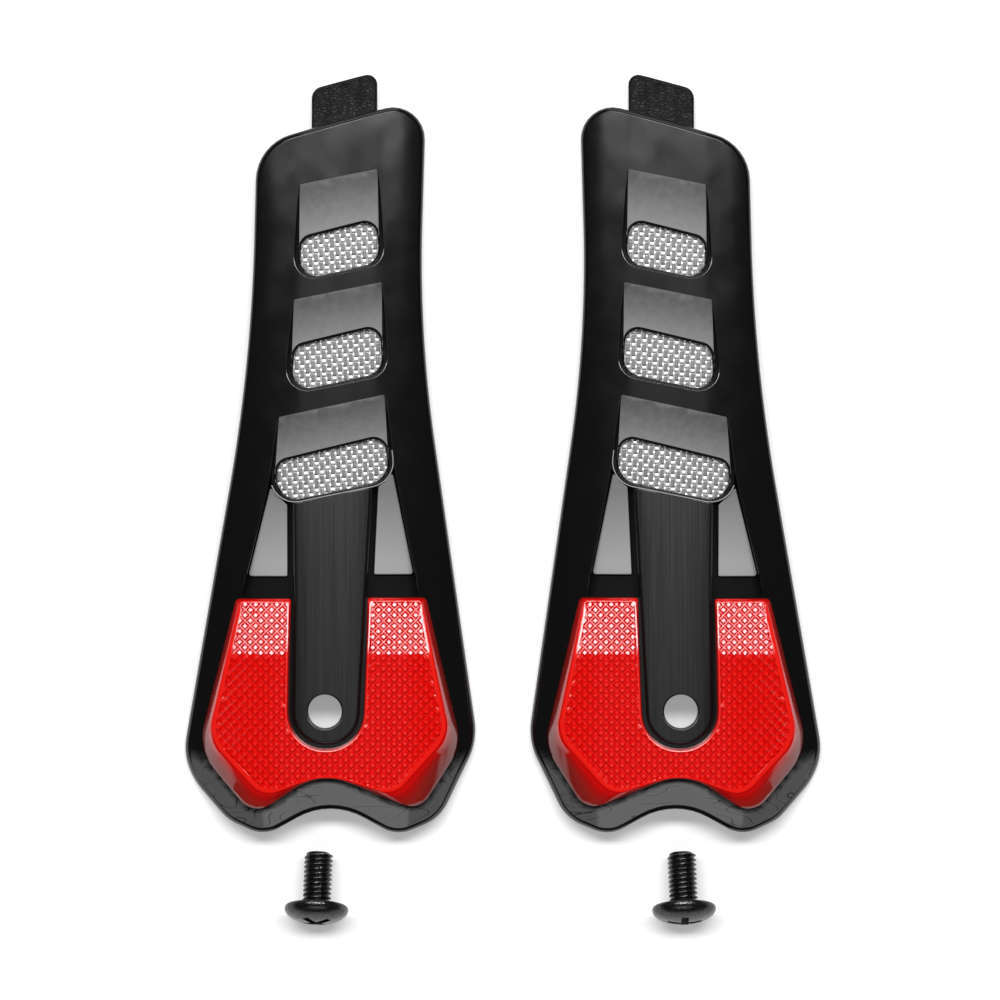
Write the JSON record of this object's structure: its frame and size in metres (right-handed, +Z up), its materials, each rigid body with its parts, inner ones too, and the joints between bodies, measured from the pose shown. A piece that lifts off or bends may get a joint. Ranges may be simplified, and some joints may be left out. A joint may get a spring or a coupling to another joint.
{
  "type": "boot guard panel pair",
  "caption": "Mirrored pair of vented, crowned boot guard panels with a knurled red grip pad, mesh-backed vents, a leather pull tab and a loose fixing screw for each",
  "frame": {"origin": "middle of the set's footprint, on the table it lies on", "axes": "+X across the pair from the left panel to the right, +Y up the panels towards the pull tabs, +Z up from the table"},
  "size_m": [0.1332, 0.1774, 0.0128],
  "materials": {
    "plate_black": "moulded gloss, fine flow lines",
    "scoop_satin": "fine satin texture",
    "mesh_steel": "woven wire cloth",
    "facet_satin": "fine satin texture",
    "strap_black": "satin with fine lengthwise mould lines",
    "pad_red": "diamond knurl, semi-gloss",
    "tab_leather": "embossed grain",
    "screw_black": "black oxide, semi-gloss"
  },
  "bodies": {
    "left_plate": {"frame_left": "plate_black", "upper_scoop_left": "scoop_satin", "middle_scoop_left": "scoop_satin", "lower_scoop_left": "scoop_satin", "upper_mesh_left": "mesh_steel", "middle_mesh_left": "mesh_steel", "lower_mesh_left": "mesh_steel", "facet_tray_left": "facet_satin", "strap_left": "strap_black", "grip_pad_left": "pad_red", "tab_anchor_left": "tab_leather"},
    "left_tab": {"pull_tab_left": "tab_leather"},
    "left_screw": {"screw_left": "screw_black"},
    "right_plate": {"frame_right": "plate_black", "upper_scoop_right": "scoop_satin", "middle_scoop_right": "scoop_satin", "lower_scoop_right": "scoop_satin", "upper_mesh_right": "mesh_steel", "middle_mesh_right": "mesh_steel", "lower_mesh_right": "mesh_steel", "facet_tray_right": "facet_satin", "strap_right": "strap_black", "grip_pad_right": "pad_red", "tab_anchor_right": "tab_leather"},
    "right_tab": {"pull_tab_right": "tab_leather"},
    "right_screw": {"screw_right": "screw_black"}
  },
  "joints": [
    {"name": "left_tab_flex", "type": "hinge", "parent": "left_plate", "child": "left_tab", "pos_m": [-0.0332, 0.08028, 0.00235], "axis": [0.9655, 0.2605, 0], "range_deg": [0, 85], "stiffness_Nm_per_rad": 0.0006},
    {"name": "right_tab_flex", "type": "hinge", "parent": "right_plate", "child": "right_tab", "pos_m": [0.0332, 0.08028, 0.00235], "axis": [0.9655, -0.2605, 0], "range_deg": [0, 85], "stiffness_Nm_per_rad": 0.0006},
    {"name": "right_plate_lift", "type": "slide", "parent": "left_plate", "child": "right_plate", "axis": [0, 0, 1], "range_m": [0, 0.05]},
    {"name": "left_screw_lift", "type": "slide", "parent": "left_plate", "child": "left_screw", "axis": [0, 0, 1], "range_m": [0, 0.08]},
    {"name": "right_screw_lift", "type": "slide", "parent": "left_plate", "child": "right_screw", "axis": [0, 0, 1], "range_m": [0, 0.08]}
  ]
}
